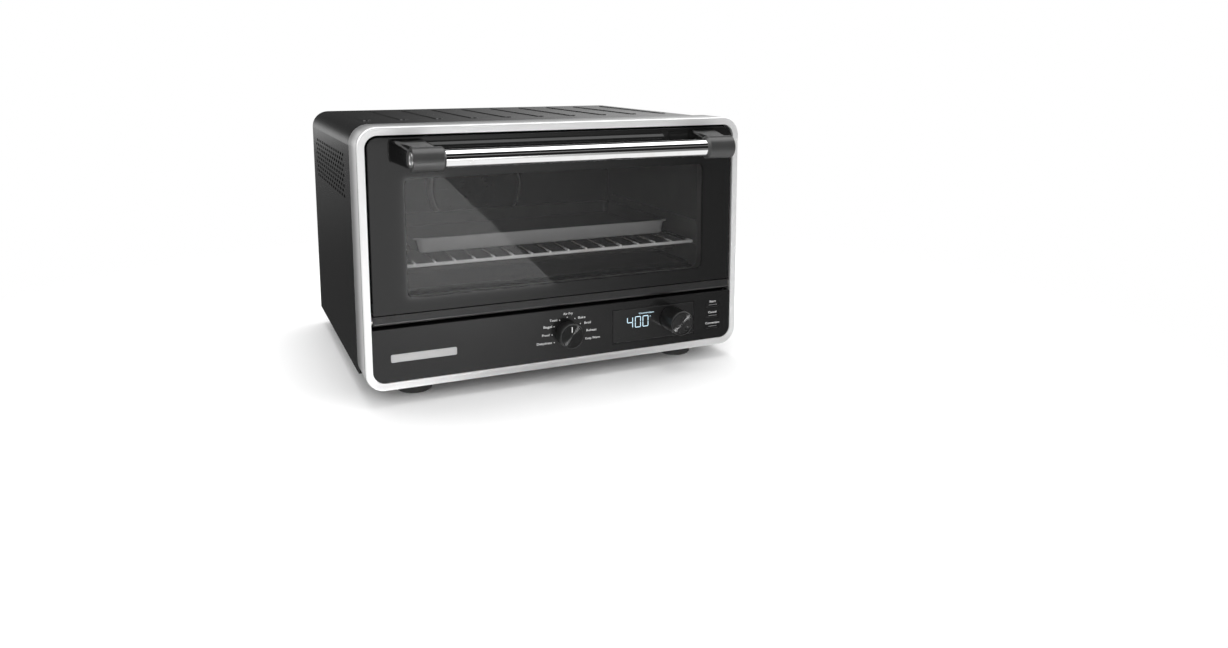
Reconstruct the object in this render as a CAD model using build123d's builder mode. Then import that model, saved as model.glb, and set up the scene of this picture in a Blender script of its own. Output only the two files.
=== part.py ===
"""A countertop toaster oven, built as separate pieces in millimetres.

+Z is up, the front faces -Y and the origin is on the table, under the middle of the
whole oven.  Depths are counted backwards from the bezel's front face and heights
upwards from the bezel's lower edge; back() and up() turn them into coordinates.
"""
from build123d import *
import os

os.makedirs("parts", exist_ok=True)

# ---------------------------------------------------------------- driving sizes
width = 435.0
bezel_height = 270.7
body_depth = 355.0
foot_height = 16.5
handle_depth = -50.0          # the handle's axis stands this far in front of the bezel
handle_level = 242.0
cap_radius = 12.2
bar_radius = 9.2
spacer_reach = 8.0            # the wall spacers stand this far behind the body
front_y = -(body_depth + spacer_reach + handle_depth - cap_radius) / 2

half = width / 2
bezel_corner = 20.0
band_depth = 49.7
band_wall = 2.5
lip_side = 7.3                # width of the bezel's front lip at the sides
lip_end = 8.3                 # and at the top and bottom
lip_depth = 4.0
opening_corner = 13.0

wrap_half = 216.7
wrap_top = 269.1
wrap_bottom = 6.0
wrap_sheet = 1.0
rib_count = 10
rib_pitch = 41.1
rib_width = 9.0
rib_rise = 0.8
rib_start = 127.0
rib_end = 325.0

vent_rows = 9
vent_columns = 14
vent_row_pitch = 5.6
vent_column_pitch = 16.4
vent_slot = (9.0, 3.2)
vent_middle = (209.0, 213.0)  # depth and height of the middle of the side vents

cavity_half = 186.0
cavity_floor_level = 88.0
cavity_roof_level = 252.0
cavity_front = 22.2
cavity_rear = 305.0
sheet = 1.0
pad_rise = 4.0                # how far the rack guides stand into the cavity
pad_bands = ((95.0, 115.7), (127.0, 145.0), (157.0, 238.0))
heater_depths = (95.0, 225.0)
heater_levels = (103.0, 240.0)
heater_radius = 3.25

fan_x = -16.0
fan_level = 167.0
fan_cover_radius = 64.0
fan_radius = 48.0
shaft_radius = 2.5
fit = 0.05                    # radial clearance of a shaft in its hole

door_half = 207.8
glass_front = 1.0
glass_thick = 4.0
seam_level = 79.0
door_top = 260.0
door_rear = 20.0
rail_bottom = 68.0
pin_depth = 8.0
pin_level = 74.0
pin_radius = 2.0
window_half = 174.0
window_bottom = 93.0
window_top = 220.0
handle_screw_x = 163
handle_screw_level = 246

fascia_top = 65.0
fascia_half = 209.9
fascia_bottom = 8.6
fascia_wall = 2.5
display_box = (56.8, 161.8, 17.0, 56.4)     # left, right, bottom, top
mode_place = (2.2, 37.2)
temp_place = (130.5, 40.5)
knob_radius = 14.0
mode_reach = 14.0             # the dials stand this far in front of the bezel
temp_reach = 29.0
button_x = 187.0
button_levels = {"start": 49.0, "cancel": 36.0, "convection": 23.0}
button_size = (18.2, 6.0)
board_depth = 12.5

rack_level = 118.0            # centre of the rack's frame wire
rack_front = 48.0
rack_rear = 281.0
rack_wires = 15
rack_pitch = 22.06


# ---------------------------------------------------------------- small helpers
def back(depth):
    """The y of a depth behind the bezel's front face."""
    return front_y + depth


def up(level):
    """The z of a height above the bezel's lower edge."""
    return foot_height + level


def facing(depth):
    """A sketch plane (x, z) at a depth; a positive extrusion goes to the front."""
    return Plane.XZ.offset(-back(depth))


def sideways(x):
    """A sketch plane (y, z) at an x; a positive extrusion goes to the right."""
    return Plane.YZ.offset(x)


def level(height):
    """A sketch plane (x, y) at a height; a positive extrusion goes up."""
    return Plane.XY.offset(up(height))


def block(x, depth, height, mode=Mode.ADD):
    """A box in the open builder, from pairs of x, depth and height."""
    middle = (sum(x) / 2, back(sum(depth) / 2), up(sum(height) / 2))
    with Locations(middle):
        Box(x[1] - x[0], depth[1] - depth[0], height[1] - height[0], mode=mode)


def rod_x(x, depth, height, radius, mode=Mode.ADD):
    """A cylinder along X in the open builder."""
    with Locations(((x[0] + x[1]) / 2, back(depth), up(height))):
        Cylinder(radius, x[1] - x[0], rotation=(0, 90, 0), mode=mode)


def rod_y(x, depth, height, radius, mode=Mode.ADD):
    """A cylinder along Y in the open builder."""
    with Locations((x, back(sum(depth) / 2), up(height))):
        Cylinder(radius, depth[1] - depth[0], rotation=(90, 0, 0), mode=mode)


def rod_z(x, depth, height, radius, mode=Mode.ADD):
    """A cylinder along Z in the open builder."""
    with Locations((x, back(depth), up(sum(height) / 2))):
        Cylinder(radius, height[1] - height[0], mode=mode)


def keep(piece, name):
    """Label a finished piece and write its STEP file."""
    piece.part.label = name
    export_step(piece.part, f"parts/{name}.step")


def spread(count, pitch):
    """Evenly spaced places about zero."""
    return [(i - (count - 1) / 2) * pitch for i in range(count)]


sides = {"left": -1, "right": 1}


def span(sign, near, far):
    """A pair of x values on one side, in rising order."""
    return tuple(sorted((sign * near, sign * far)))


# ---------------------------------------------------------------- outer shell
bezel_middle = bezel_height / 2

with BuildPart() as front_bezel:
    with BuildSketch(facing(0)):
        with Locations((0, up(bezel_middle))):
            RectangleRounded(width, bezel_height, bezel_corner)
    extrude(amount=-band_depth)
    outer_rim = front_bezel.faces().sort_by(Axis.Y)[0].outer_wire().edges()
    fillet(outer_rim, 1.8)
    with BuildSketch(facing(lip_depth)):
        with Locations((0, up(bezel_middle))):
            RectangleRounded(width - 2 * band_wall, bezel_height - 2 * band_wall,
                             bezel_corner - band_wall)
    extrude(amount=-band_depth, mode=Mode.SUBTRACT)
    with BuildSketch(facing(-1)):
        with Locations((0, up(bezel_middle))):
            RectangleRounded(width - 2 * lip_side, bezel_height - 2 * lip_end, opening_corner)
    extrude(amount=-lip_depth - 2, mode=Mode.SUBTRACT)
    # a fine shadow line between the side band and the front lip
    with BuildSketch(facing(4.6)):
        with Locations((0, up(bezel_middle))):
            RectangleRounded(width + 2, bezel_height + 2, bezel_corner + 1)
            RectangleRounded(width - 1, bezel_height - 1, bezel_corner - 0.5, mode=Mode.SUBTRACT)
    extrude(amount=0.6, mode=Mode.SUBTRACT)
    # the lower band is shallow, to leave room for the base and the front feet
    block((-197, 197), (22, band_depth + 1), (-1, band_wall + 0.5), mode=Mode.SUBTRACT)
keep(front_bezel, "front_bezel")


def wrap_outline(inset):
    """The inverted U of the wrap, as a closed face between its skirts."""
    half_width = wrap_half - inset
    top = up(wrap_top - inset)
    foot = up(wrap_bottom) - 1
    radius = bezel_corner - inset
    with BuildSketch(facing(band_depth)) as profile:
        with BuildLine():
            Polyline((-half_width, top - radius), (-half_width, foot), (half_width, foot),
                     (half_width, top - radius))
            RadiusArc((half_width, top - radius), (half_width - radius, top), -radius)
            Line((half_width - radius, top), (-half_width + radius, top))
            RadiusArc((-half_width + radius, top), (-half_width, top - radius), -radius)
        make_face()
    return profile.sketch


with BuildPart() as outer_wrap:
    extrude(wrap_outline(0), amount=-(body_depth - band_depth))
    extrude(wrap_outline(wrap_sheet), amount=-(body_depth - band_depth), mode=Mode.SUBTRACT)
    block((-half, half), (band_depth - 1, body_depth + 1), (0, wrap_bottom), mode=Mode.SUBTRACT)
    for sign in sides.values():
        block(span(sign, wrap_half - 12, wrap_half), (band_depth, body_depth),
              (wrap_bottom, wrap_bottom + wrap_sheet))
    # pressed ribs on the roof
    with BuildSketch(level(wrap_top)):
        with Locations(*[(x, back((rib_start + rib_end) / 2)) for x in spread(rib_count, rib_pitch)]):
            SlotOverall(rib_end - rib_start, rib_width, rotation=90)
    extrude(amount=rib_rise, taper=30)
    # staggered cooling slots in both skirts
    slots = []
    for row, rise in enumerate(spread(vent_rows, vent_row_pitch)):
        shift = vent_column_pitch / 4 * (1 if row % 2 else -1)
        for run in spread(vent_columns, vent_column_pitch):
            slots.append((back(vent_middle[0] + run + shift), up(vent_middle[1] + rise)))
    with BuildSketch(sideways(-wrap_half - 1)):
        with Locations(*slots):
            SlotOverall(*vent_slot)
    extrude(amount=2 * wrap_half + 2, mode=Mode.SUBTRACT)
keep(outer_wrap, "outer_wrap")

cover_depth = 351.0            # front of the rear cover's sheet
cover_sheet = 1.2
cover_size = (430.6, 258.6)
cover_corner = 17.0
cover_middle = 137.7
cover_rear = cover_depth + cover_sheet
cord_place = (150.0, 40.0)
cord_radius = 4.0
screw_xs = (-200, -70, 70, 200)
screw_levels = (20, 257)

with BuildPart() as rear_cover:
    with BuildSketch(facing(cover_depth)):
        with Locations((0, up(cover_middle))):
            RectangleRounded(*cover_size, cover_corner)
    extrude(amount=-cover_sheet)
    with BuildSketch(facing(cover_depth)):
        with Locations((0, up(cover_middle))):
            RectangleRounded(*cover_size, cover_corner)
            RectangleRounded(cover_size[0] - 2 * cover_sheet, cover_size[1] - 2 * cover_sheet,
                             cover_corner - cover_sheet, mode=Mode.SUBTRACT)
    extrude(amount=11)
    # louvre slots behind the fan motor and along the top
    with BuildSketch(facing(354)):
        with Locations((fan_x, up(fan_level))):
            with GridLocations(26, 8, 4, 9):
                SlotOverall(20, 3.4)
        with Locations((0, up(248))):
            with GridLocations(26, 8, 9, 2):
                SlotOverall(20, 3.4)
    extrude(amount=4, mode=Mode.SUBTRACT)
    rod_y(cord_place[0], (350, 354), cord_place[1], 9, mode=Mode.SUBTRACT)
    for x in screw_xs:
        for height in screw_levels:
            rod_y(x, (350, 354), height, 1.6, mode=Mode.SUBTRACT)
keep(rear_cover, "rear_cover")

with BuildPart() as cover_screws:
    for x in screw_xs:
        for height in screw_levels:
            rod_y(x, (344, cover_rear), height, 1.55)
            rod_y(x, (cover_rear, cover_rear + 2), height, 3.4)
            block((x - 2.4, x + 2.4), (353.4, 355), (height - 0.4, height + 0.4), mode=Mode.SUBTRACT)
            block((x - 0.4, x + 0.4), (353.4, 355), (height - 2.4, height + 2.4), mode=Mode.SUBTRACT)
keep(cover_screws, "cover_screws")

with BuildPart() as rear_spacers:
    for sign in sides.values():
        with BuildSketch(facing(cover_rear)):
            with Locations((sign * 130, up(225))):
                SlotOverall(34, 12)
        extrude(amount=-(body_depth + spacer_reach - cover_rear), taper=4)
keep(rear_spacers, "rear_spacers")

with BuildPart() as cord_gland:
    rod_y(cord_place[0], (346, cover_rear), cord_place[1], 8.8)
    rod_y(cord_place[0], (cover_rear, cover_rear + 3), cord_place[1], 12.5)
    rod_y(cord_place[0], (343, 346), cord_place[1], 11)
    rod_y(cord_place[0], (342, 356), cord_place[1], cord_radius, mode=Mode.SUBTRACT)
    fillet(cord_gland.faces().sort_by(Axis.Y)[-1].outer_wire().edges(), 1.2)
keep(cord_gland, "cord_gland")

foot_x = 159
foot_places = {"foot_front_left": (-foot_x, 45), "foot_front_right": (foot_x, 45),
               "foot_rear_left": (-foot_x, 315), "foot_rear_right": (foot_x, 315)}

with BuildPart() as base_pan:
    block((-213.5, 213.5), (52, 339.6), (7, 8.2))
    block((-195, 195), (22.6, 52), (7, 8.2))
    block((-195, 195), (22.6, 23.8), (8.2, 12))
    # drainage and cooling slots in the middle of the base
    with BuildSketch(level(6)):
        with Locations((0, back(190))):
            with GridLocations(40, 14, 8, 12):
                SlotOverall(26, 4)
    extrude(amount=4, mode=Mode.SUBTRACT)
    for x, depth in foot_places.values():
        rod_z(x, depth, (6, 9), 2.05, mode=Mode.SUBTRACT)
keep(base_pan, "base_pan")


for name, (x, depth) in foot_places.items():
    with BuildPart() as foot:
        rod_z(x, depth, (-foot_height, -1), 19)
        rod_z(x, depth, (-1, 7), 13)
        fillet(foot.edges().filter_by(GeomType.CIRCLE).group_by(Axis.Z)[0], 3)
        rod_z(x, depth, (-foot_height - 1, -5), 5, mode=Mode.SUBTRACT)
        rod_z(x, depth, (-6, 8), 2.05, mode=Mode.SUBTRACT)
    keep(foot, name)

with BuildPart() as foot_screws:
    for x, depth in foot_places.values():
        rod_z(x, depth, (-7.6, -5), 3.8)
        rod_z(x, depth, (-5, 12), 2)
keep(foot_screws, "foot_screws")

# ---------------------------------------------------------------- cooking cavity
for name, sign in sides.items():
    wall = span(sign, cavity_half, cavity_half + sheet)
    with BuildPart() as cavity_wall:
        block(wall, (cavity_front, cavity_rear), (cavity_floor_level, cavity_roof_level))
        # the pressed bands that guide the rack stand into the cavity
        for low, high in pad_bands:
            with BuildSketch(sideways(sign * (cavity_half + sheet))):
                with Locations((back(160), up((low + high) / 2))):
                    RectangleRounded(252, high - low, 5)
            extrude(amount=-sign * (pad_rise + sheet))
            with BuildSketch(sideways(sign * (cavity_half + sheet))):
                with Locations((back(160), up((low + high) / 2))):
                    RectangleRounded(252 - 2 * sheet, high - low - 2 * sheet, 4)
            extrude(amount=-sign * pad_rise, mode=Mode.SUBTRACT)
        for depth in heater_depths:
            rod_x(span(sign, cavity_half - 6, cavity_half + 2), depth, heater_levels[0], 4.6,
                  mode=Mode.SUBTRACT)
            rod_x(span(sign, cavity_half - 6, cavity_half + 2), depth, heater_levels[1], 4.6,
                  mode=Mode.SUBTRACT)
        if sign > 0:
            rod_x(span(sign, cavity_half - 6, cavity_half + 2), 160, 245, 2.6, mode=Mode.SUBTRACT)
    keep(cavity_wall, f"cavity_{name}_wall")

with BuildPart() as cavity_roof:
    block((-cavity_half - sheet, cavity_half + sheet), (cavity_front, cavity_rear),
          (cavity_roof_level, cavity_roof_level + sheet))
keep(cavity_roof, "cavity_roof")

with BuildPart() as cavity_floor:
    block((-cavity_half - sheet, cavity_half + sheet), (cavity_front, cavity_rear),
          (cavity_floor_level - sheet, cavity_floor_level))
keep(cavity_floor, "cavity_floor")

with BuildPart() as cavity_rear_wall:
    block((-cavity_half - sheet, cavity_half + sheet), (cavity_rear, cavity_rear + sheet),
          (cavity_floor_level - sheet, cavity_roof_level + sheet))
    rod_y(fan_x, (cavity_rear - 1, cavity_rear + 2), fan_level, 6, mode=Mode.SUBTRACT)
keep(cavity_rear_wall, "cavity_rear_wall")

with BuildPart() as cavity_front_flange:
    block((-213, 213), (21, cavity_front), (12.2, 266))
    block((-cavity_half, cavity_half), (20, 23), (cavity_floor_level, cavity_roof_level),
          mode=Mode.SUBTRACT)
    fillet(cavity_front_flange.edges().filter_by(Axis.Y).group_by(Axis.Z)[-1], 16)
keep(cavity_front_flange, "cavity_front_flange")

# a domed and perforated cover over the fan, on the cavity's rear wall
cover_front = 285.0
cover_holes = ((1, 0), (6, 7), (12, 14), (18, 21), (24, 28))     # holes in each ring, its radius
with BuildPart() as fan_cover:
    rod_y(fan_x, (cover_front, cavity_rear), fan_level, fan_cover_radius)
    fillet(fan_cover.faces().sort_by(Axis.Y)[0].outer_wire().edges(), 9)
    with BuildSketch(Plane.XY) as hollow:
        with BuildLine():
            Polyline((0, 0), (fan_cover_radius - 1, 0), (fan_cover_radius - 1, 11))
            RadiusArc((fan_cover_radius - 1, 11), (fan_cover_radius - 9, 19), -8)
            Line((fan_cover_radius - 9, 19), (0, 19))
            Line((0, 19), (0, 0))
        make_face()
    inner = revolve(hollow.sketch, axis=Axis.Y, mode=Mode.PRIVATE)
    placed = Location((fan_x, back(cavity_rear), up(fan_level))) * Rotation(180, 0, 0) * inner
    add(placed, mode=Mode.SUBTRACT)
    with BuildSketch(facing(cover_front - 1)):
        with Locations((fan_x, up(fan_level))):
            for count, radius in cover_holes:
                with PolarLocations(radius, count):
                    Circle(2)
            with PolarLocations(46, 20):
                SlotOverall(13, 3.4)
    extrude(amount=-3, mode=Mode.SUBTRACT)
keep(fan_cover, "fan_cover")

wall_run = cavity_half + sheet + 12
with BuildPart() as upper_heaters:
    for depth in heater_depths:
        rod_x((-wall_run, wall_run), depth, heater_levels[1], heater_radius)
keep(upper_heaters, "upper_heaters")

with BuildPart() as lower_heaters:
    for depth in heater_depths:
        rod_x((-wall_run, wall_run), depth, heater_levels[0], heater_radius)
keep(lower_heaters, "lower_heaters")

with BuildPart() as heater_insulators:
    for sign in sides.values():
        for depth in heater_depths:
            for height in heater_levels:
                rod_x(span(sign, cavity_half - 1.6, cavity_half + sheet), depth, height, 4.5)
                rod_x(span(sign, cavity_half + sheet, cavity_half + sheet + 7), depth, height, 7)
                rod_x(span(sign, cavity_half - 3, cavity_half + sheet + 8), depth, height,
                      heater_radius + fit, mode=Mode.SUBTRACT)
keep(heater_insulators, "heater_insulators")

with BuildPart() as temperature_probe:
    rod_x((140, cavity_half + 14), 160, 245, 2.4)
    rod_x((cavity_half + sheet, cavity_half + sheet + 2), 160, 245, 6)
    fillet(temperature_probe.edges().filter_by(GeomType.CIRCLE).group_by(Axis.X)[0], 2)
keep(temperature_probe, "temperature_probe")

with BuildPart() as thermal_cutout:
    rod_z(70, 190, (cavity_roof_level + sheet, cavity_roof_level + sheet + 5), 8)
    rod_z(70, 190, (cavity_roof_level + sheet + 5, cavity_roof_level + sheet + 8), 5)
    block((60, 80), (186, 194), (cavity_roof_level + sheet, cavity_roof_level + sheet + 1))
keep(thermal_cutout, "thermal_cutout")

# ---------------------------------------------------------------- convection fan
with BuildPart() as fan_motor:
    rod_y(fan_x, (316, 342), fan_level, 27)
    rod_y(fan_x, (310, 316), fan_level, 9)
    rod_y(fan_x, (342, 345), fan_level, 9)
    block((fan_x - 30, fan_x + 30), (322, 336), (fan_level - 33, fan_level + 33))
    rod_y(fan_x, (300, 342.4), fan_level, shaft_radius + fit, mode=Mode.SUBTRACT)
keep(fan_motor, "fan_motor")

with BuildPart() as motor_bracket:
    for sign in sides.values():
        block((fan_x + sign * 37 - 3, fan_x + sign * 37 + 3), (cavity_rear + sheet, 321.4),
              (fan_level - 40, fan_level + 40))
        block((fan_x + sign * 37 - 10, fan_x + sign * 37 + 10), (cavity_rear + sheet, 307.4),
              (fan_level - 40, fan_level + 40))
    block((fan_x - 40, fan_x + 40), (319.8, 321.4), (fan_level - 40, fan_level + 40))
    rod_y(fan_x, (319, 323), fan_level, 27.5, mode=Mode.SUBTRACT)
keep(motor_bracket, "motor_bracket")

with BuildPart() as fan_wheel:
    rod_y(fan_x, (291, 303), fan_level, 7)
    rod_y(fan_x, (301.4, 302.6), fan_level, fan_radius)
    with BuildSketch(facing(301.6)):
        with Locations((fan_x, up(fan_level))):
            with PolarLocations(27, 12):
                Rectangle(38, 1.2, rotation=22)
    extrude(amount=9)
    rod_y(fan_x, (291, 342), fan_level, shaft_radius)
keep(fan_wheel, "fan_wheel")


# ---------------------------------------------------------------- door
with BuildPart() as door_glass_outer:
    block((-door_half, door_half), (glass_front, glass_front + glass_thick),
          (seam_level + 0.3, door_top))
    upright = door_glass_outer.edges().filter_by(Axis.Y)
    fillet(upright.group_by(Axis.Z)[-1], 10.6)
    fillet(door_glass_outer.edges().filter_by(Axis.Y).group_by(Axis.Z)[0], 1.5)
    chamfer(door_glass_outer.faces().sort_by(Axis.Y)[0].outer_wire().edges(), 0.6)
    for sign in sides.values():
        rod_y(sign * handle_screw_x, (0, 6), handle_screw_level, 2.3, mode=Mode.SUBTRACT)
keep(door_glass_outer, "door_glass_outer")

with BuildPart() as door_rail:
    block((-door_half, door_half), (glass_front, door_rear), (rail_bottom, seam_level - 0.3))
    long_edges = door_rail.edges().filter_by(Axis.X)
    fillet(long_edges.group_by(Axis.Z)[0].sort_by(Axis.Y)[0], 3.5)
    chamfer(door_rail.edges().filter_by(Axis.X).group_by(Axis.Z)[0].sort_by(Axis.Y)[-1], 3)
    block((-188, 188), (glass_front + 1.8, door_rear - 1.8), (rail_bottom + 1.8, seam_level + 1),
          mode=Mode.SUBTRACT)
    rod_x((-door_half - 1, door_half + 1), pin_depth, pin_level, pin_radius, mode=Mode.SUBTRACT)
keep(door_rail, "door_rail")

frame_half = 204.0
frame_top = 257.5
frame_middle = (seam_level + frame_top) / 2
window_size = (2 * window_half, window_top - window_bottom)
window_level = (window_top + window_bottom) / 2
with BuildPart() as door_frame:
    with BuildSketch(facing(glass_front + glass_thick)):
        with Locations((0, up(frame_middle))):
            RectangleRounded(2 * frame_half, frame_top - seam_level, 9)
    extrude(amount=-(door_rear - glass_front - glass_thick))
    with BuildSketch(facing(glass_front + glass_thick)):
        with Locations((0, up(frame_middle))):
            RectangleRounded(2 * frame_half - 2.4, frame_top - seam_level - 2.4, 7.8)
    extrude(amount=-(door_rear - 1.2 - glass_front - glass_thick), mode=Mode.SUBTRACT)
    with BuildSketch(facing(door_rear - 2)):
        with Locations((0, up(window_level))):
            RectangleRounded(*window_size, 8)
    extrude(amount=-3, mode=Mode.SUBTRACT)
keep(door_frame, "door_frame")

with BuildPart() as door_glass_inner:
    with BuildSketch(facing(15.8)):
        with Locations((0, up(window_level))):
            RectangleRounded(window_size[0] + 20, window_size[1] + 20, 10)
    extrude(amount=-3)
keep(door_glass_inner, "door_glass_inner")

bar_end = 151.5
cap_inner = 143.5
cap_outer = 175.5
with BuildPart() as handle_bar:
    rod_x((-bar_end, bar_end), handle_depth, handle_level, bar_radius)
    rod_x((-bar_end, bar_end), handle_depth, handle_level, bar_radius - 1.5, mode=Mode.SUBTRACT)
keep(handle_bar, "handle_bar")

for name, sign in sides.items():
    with BuildPart() as bracket:
        # the arm runs from a broad foot on the glass to the round cap
        with BuildSketch(facing(glass_front)) as arm_foot:
            with Locations((sign * 168.7, up(246.7))):
                RectangleRounded(34.5, 23.5, 4.5)
        with BuildSketch(facing(handle_depth + 4)) as arm_end:
            with Locations((sign * 161, up(handle_level))):
                RectangleRounded(28, 22.4, 4.5)
        loft([arm_foot.sketch, arm_end.sketch])
        rod_x(span(sign, cap_inner, cap_outer), handle_depth, handle_level, cap_radius)
        rims = bracket.edges().filter_by(GeomType.CIRCLE).sort_by(Axis.X)
        inner_rim = rims[-1] if sign < 0 else rims[0]
        outer_rim = rims[0] if sign < 0 else rims[-1]
        chamfer(inner_rim, 2.2)
        fillet(outer_rim, 0.8)
        rod_x(span(sign, cap_inner - 1, bar_end + 0.5), handle_depth, handle_level, bar_radius,
              mode=Mode.SUBTRACT)
        rod_x(span(sign, cap_outer - 0.6, cap_outer + 1), handle_depth, handle_level, 7.6,
              mode=Mode.SUBTRACT)
        rod_y(sign * handle_screw_x, (-14, 3), handle_screw_level, 2, mode=Mode.SUBTRACT)
    keep(bracket, f"handle_bracket_{name}")

with BuildPart() as handle_medallions:
    for sign in sides.values():
        rod_x(span(sign, cap_outer - 0.6, cap_outer + 0.7), handle_depth, handle_level, 7.5)
        rod_x(span(sign, cap_outer + 0.2, cap_outer + 2), handle_depth, handle_level, 5.2,
              mode=Mode.SUBTRACT)
keep(handle_medallions, "handle_medallions")

with BuildPart() as handle_screws:
    for sign in sides.values():
        screw_x = sign * handle_screw_x
        rod_y(screw_x, (-13, glass_front + glass_thick), handle_screw_level, 2)
        rod_y(screw_x, (glass_front + glass_thick, 8.2), handle_screw_level, 4.2)
        block((screw_x - 0.5, screw_x + 0.5), (7.2, 9),
              (handle_screw_level - 3, handle_screw_level + 3), mode=Mode.SUBTRACT)
keep(handle_screws, "handle_screws")

with BuildPart() as hinge_pins:
    for sign in sides.values():
        rod_x(span(sign, 172, 209.6), pin_depth, pin_level, pin_radius)
keep(hinge_pins, "hinge_pins")

spring_turns = 6
spring_wire = 0.65
spring_pitch = 1.15
spring_radius = 3.0
spring_start = 176.0
with BuildPart() as door_springs:
    # close-wound torsion springs, as a sleeve with a ridge for each turn
    for sign in sides.values():
        spring_end = spring_start + spring_turns * spring_pitch
        rod_x(span(sign, spring_start, spring_end), pin_depth, pin_level, spring_radius + 0.35)
        for turn in range(spring_turns):
            ridge = spring_start + (turn + 0.25) * spring_pitch
            rod_x(span(sign, ridge, ridge + spring_pitch / 2), pin_depth, pin_level,
                  spring_radius + spring_wire)
        rod_x(span(sign, spring_start - 1, spring_end + 1), pin_depth, pin_level,
              spring_radius - spring_wire, mode=Mode.SUBTRACT)
        rod_y(sign * (spring_start + 0.7), (pin_depth, pin_depth + 9), pin_level - spring_radius,
              spring_wire)
        rod_z(sign * (spring_end - 0.7), pin_depth - spring_radius, (pin_level, pin_level + 4),
              spring_wire)
keep(door_springs, "door_springs")

for name, sign in sides.items():
    with BuildPart() as hinge_bracket:
        # an ear in the gap beside the door carries the pin, and a tab holds it to the flange
        with BuildSketch(sideways(sign * 208.4)) as ear:
            with BuildLine():
                Polyline((back(pin_depth), up(pin_level - 5)), (back(21), up(pin_level - 5)),
                         (back(21), up(pin_level + 14)), (back(15), up(pin_level + 14)),
                         (back(pin_depth), up(pin_level + 5)))
                RadiusArc((back(pin_depth), up(pin_level + 5)), (back(pin_depth), up(pin_level - 5)), -5)
            make_face()
        extrude(ear.sketch, amount=sign * 1.2)
        block(span(sign, 208.4, 213), (19.8, 21), (pin_level - 5, pin_level + 14))
        rod_x(span(sign, 207, 211), pin_depth, pin_level, pin_radius + fit, mode=Mode.SUBTRACT)
    keep(hinge_bracket, f"hinge_bracket_{name}")

# ---------------------------------------------------------------- control panel
fascia_middle = (fascia_top + fascia_bottom) / 2
display_middle = ((display_box[0] + display_box[1]) / 2, (display_box[2] + display_box[3]) / 2)
display_size = (display_box[1] - display_box[0], display_box[3] - display_box[2])

with BuildPart() as control_fascia:
    block((-fascia_half, fascia_half), (glass_front, 14), (fascia_bottom, fascia_top))
    fillet(control_fascia.edges().filter_by(Axis.Y).group_by(Axis.Z)[0], opening_corner - 0.4)
    fillet(control_fascia.faces().sort_by(Axis.Y)[0].edges().sort_by(Axis.Z)[-1], 0.5)
    block((-fascia_half + 14, fascia_half - 2), (glass_front + fascia_wall, 15),
          (fascia_bottom + 2, fascia_top - 2), mode=Mode.SUBTRACT)
    with BuildSketch(facing(0)):
        with Locations((display_middle[0], up(display_middle[1]))):
            Rectangle(*display_size)
        with Locations(*[(button_x, up(height)) for height in button_levels.values()]):
            SlotOverall(button_size[0] + 0.6, button_size[1] + 0.6)
        with Locations((mode_place[0], up(mode_place[1]))):
            Circle(4)
    extrude(amount=-4, mode=Mode.SUBTRACT)
keep(control_fascia, "control_fascia")

with BuildPart() as display_window:
    with BuildSketch(facing(glass_front)):
        with Locations((display_middle[0], up(display_middle[1]))):
            RectangleRounded(display_size[0] - 0.5, display_size[1] - 0.5, 0.8)
        with Locations((temp_place[0], up(temp_place[1]))):
            Circle(4, mode=Mode.SUBTRACT)
    extrude(amount=-2)
keep(display_window, "display_window")

with BuildPart() as display_module:
    block((60, 112), (3.2, 8), (22, 53))
    block((62, 110), (8, board_depth), (24, 28))
keep(display_module, "display_module")

with BuildPart() as nameplate:
    with BuildSketch(facing(glass_front)):
        with Locations((-157.1, up(33.5))):
            RectangleRounded(69, 8.4, 1.6)
    extrude(amount=0.8)
    chamfer(nameplate.faces().sort_by(Axis.Y)[0].outer_wire().edges(), 0.3)
keep(nameplate, "nameplate")

with BuildPart() as control_board:
    block((-28, 205), (board_depth, board_depth + 1.6), (14, 60))
    block((10, 45), (board_depth + 1.6, board_depth + 4), (30, 50))
    block((150, 172), (board_depth + 1.6, board_depth + 6), (20, 34))
keep(control_board, "control_board")

for name, place in (("mode_encoder", mode_place), ("temp_encoder", temp_place)):
    with BuildPart() as encoder:
        block((place[0] - 7, place[0] + 7), (5.4, board_depth), (place[1] - 7, place[1] + 7))
        rod_y(place[0], (4, 5.4), place[1], 4.6)
        rod_y(place[0], (3.9, board_depth - 0.8), place[1], 3 + fit, mode=Mode.SUBTRACT)
        rod_y(place[0], (8, 10.6), place[1], 5.8, mode=Mode.SUBTRACT)
    keep(encoder, name)

with BuildPart() as button_switches:
    for height in button_levels.values():
        block((button_x - 3, button_x + 3), (11.3, board_depth), (height - 3, height + 3))
        rod_y(button_x, (10.4, 11.3), height, 1.7)
keep(button_switches, "button_switches")

with BuildPart() as power_board:
    block((212, 213.6), (75, 250), (60, 190))
    for height, size in ((85, 18), (115, 18), (145, 18)):
        block((197, 212), (90, 90 + size), (height - 8, height + 8))
    block((195, 212), (130, 165), (70, 100))
    for depth in (185, 205, 225):
        rod_x((198, 212), depth, 90, 6)
    block((205, 212), (190, 240), (130, 150))
keep(power_board, "power_board")

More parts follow.
